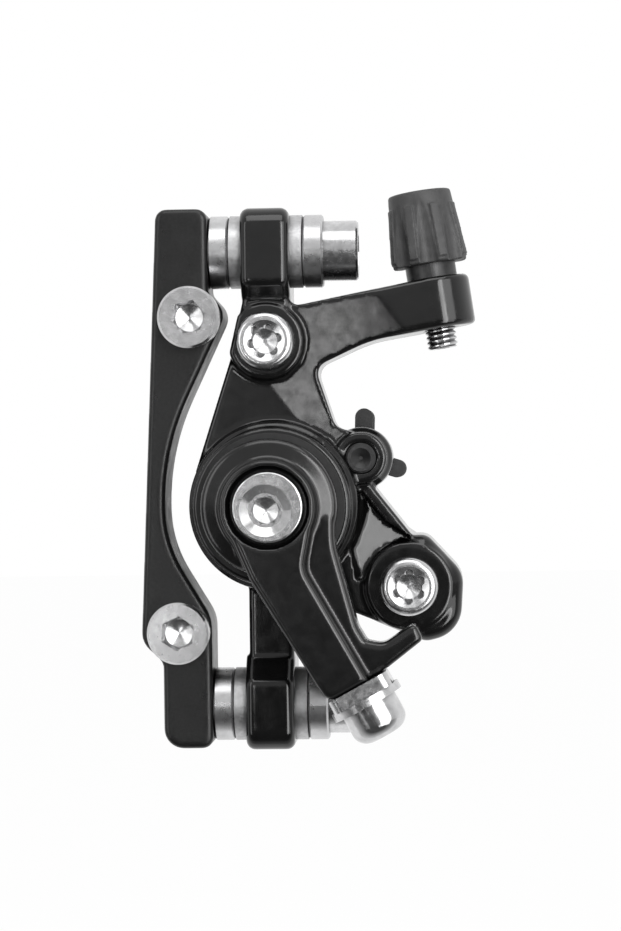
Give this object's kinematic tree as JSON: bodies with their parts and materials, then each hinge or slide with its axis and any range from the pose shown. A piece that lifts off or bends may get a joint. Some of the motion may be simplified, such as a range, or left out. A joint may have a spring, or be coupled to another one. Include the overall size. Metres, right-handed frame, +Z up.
{
  "type": "bicycle mechanical disc brake caliper",
  "caption": "Cable-pulled disc brake caliper on a waisted frame adapter, with a lever arm, cable clamp, barrel adjuster and ball-and-ramp drive behind the arm.",
  "frame": {"origin": "where the piston axis crosses the middle plane of the rotor slot", "axes": "+X to the right in the picture, away from the adapter; +Y inboard along the piston axis, so the lever arm is on the -Y side; +Z up along the line of the two post bolts"},
  "size_m": [0.0547, 0.0513, 0.091],
  "materials": {
    "adapter_paint": "satin black powder coat",
    "body_paint": "gloss black paint",
    "arm_paint": "gloss black paint",
    "bolt_zinc": "bright zinc plate",
    "turned_zinc": "turned, zinc plated",
    "rough_zinc": "tumbled, zinc plated",
    "knob_plastic": "dark moulded plastic",
    "dark_metal": "dark satin",
    "screw_bright": "bright zinc plate",
    "plate_dark": "rough dark coat",
    "friction": "pressed friction compound",
    "hard_steel": "ground steel",
    "bronze": "sintered bronze",
    "cage_plastic": "natural nylon",
    "rubber": "matt black rubber",
    "spring_steel": "bright spring steel"
  },
  "bodies": {
    "caliper": {"adapter_bracket": "adapter_paint", "tab_bolts": "bolt_zinc", "post_bolts": "bolt_zinc", "concave_washers": "turned_zinc", "convex_washers": "rough_zinc", "outer_body": "body_paint", "inner_body": "body_paint", "body_screws": "bolt_zinc", "pad_pin": "dark_metal", "pin_clip": "spring_steel", "pad_spring": "spring_steel", "fixed_ramp": "hard_steel", "spindle_bush": "bronze", "dust_seal": "rubber", "return_spring": "spring_steel"},
    "pressure_side": {"piston": "hard_steel", "thrust_washer": "hard_steel", "outer_pad_plate": "plate_dark", "outer_pad_lining": "friction"},
    "lever": {"spindle": "hard_steel", "actuating_arm": "arm_paint", "arm_bolt": "bolt_zinc", "clamp_plate": "bolt_zinc", "clamp_washer": "bolt_zinc", "clamp_bolt": "screw_bright"},
    "ball_set": {"ball_cage": "cage_plastic", "ramp_balls": "hard_steel"},
    "barrel_seat": {"adjuster_collar": "dark_metal"},
    "barrel": {"barrel_screw": "screw_bright", "adjuster_knob": "knob_plastic"},
    "inner_pad": {"inner_pad_plate": "plate_dark", "inner_pad_lining": "friction"},
    "pad_screw": {"pad_adjuster": "dark_metal", "adjuster_oring": "rubber"}
  },
  "joints": [
    {"name": "piston_advance", "type": "slide", "parent": "caliper", "child": "pressure_side", "axis": [0, 1, 0], "range_m": [0, 0.0016], "deforming": ["pad_spring", "dust_seal"]},
    {"name": "arm_turn", "type": "hinge", "parent": "pressure_side", "child": "lever", "pos_m": [0, 0, 0], "axis": [0, -1, 0], "range_deg": [0, 35], "stiffness_Nm_per_rad": 0.25, "springref_deg": -34.38, "deforming": ["return_spring"]},
    {"name": "cage_turn", "type": "hinge", "parent": "pressure_side", "child": "ball_set", "pos_m": [0, 0, 0], "axis": [0, -1, 0], "range_deg": [0, 17.5]},
    {"name": "barrel_advance", "type": "slide", "parent": "caliper", "child": "barrel_seat", "axis": [-0.1426, 0, 0.9898], "range_m": [0, 0.004]},
    {"name": "barrel_turn", "type": "hinge", "parent": "barrel_seat", "child": "barrel", "pos_m": [0.0261, -0.0126, 0.03675], "axis": [-0.1426, 0, 0.9898], "range_deg": [0, 1800]},
    {"name": "inner_pad_advance", "type": "slide", "parent": "caliper", "child": "inner_pad", "axis": [0, -1, 0], "range_m": [0, 0.001]},
    {"name": "pad_screw_turn", "type": "hinge", "parent": "inner_pad", "child": "pad_screw", "pos_m": [0, 0, 0], "axis": [0, -1, 0], "range_deg": [0, 360]}
  ],
  "couplings": [
    {"joint": "arm_turn", "follows": "piston_advance", "rad_per_m": 381.79},
    {"joint": "cage_turn", "follows": "piston_advance", "rad_per_m": 190.9},
    {"joint": "barrel_turn", "follows": "barrel_advance", "rad_per_m": 7853.9},
    {"joint": "pad_screw_turn", "follows": "inner_pad_advance", "rad_per_m": 6283.1}
  ]
}
